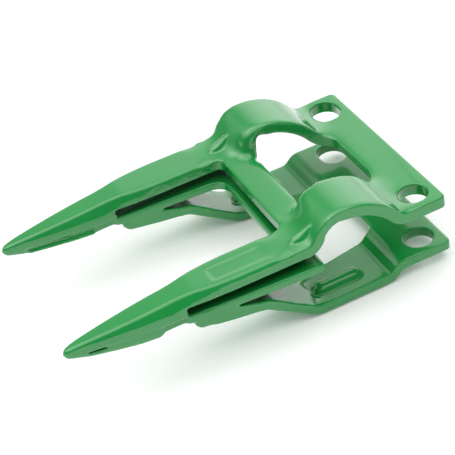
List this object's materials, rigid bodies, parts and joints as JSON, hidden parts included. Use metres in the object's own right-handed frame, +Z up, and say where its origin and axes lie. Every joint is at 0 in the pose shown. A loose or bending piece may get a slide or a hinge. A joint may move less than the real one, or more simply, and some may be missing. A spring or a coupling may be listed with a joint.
{
  "type": "mower knife guard",
  "caption": "Double-finger knife guard for a mower cutter bar: a humped upper pressing with long pointed fingers, a flat ledger plate and a ramped lower pressing, welded together at the fingers.",
  "frame": {"origin": "midway between the two bolt holes, on the top face of the upper rear plate", "axes": "X across the cutter bar from the slotted hole's side to the round hole's side, -Y forward along the fingers, +Z up along the bolts"},
  "size_m": [0.0982, 0.1609, 0.0446],
  "materials": {
    "green_paint": "glossy dipped paint with a light orange peel",
    "painted_weld": "glossy paint over weld beads"
  },
  "bodies": {
    "root": {"upper_guard": "green_paint", "ledger_plate": "green_paint", "lower_guard": "green_paint", "nose_weld_left": "painted_weld", "nose_weld_right": "painted_weld", "nose_tack_left": "painted_weld", "nose_tack_right": "painted_weld", "lip_weld_left": "painted_weld", "lip_weld_right": "painted_weld"}
  },
  "joints": []
}
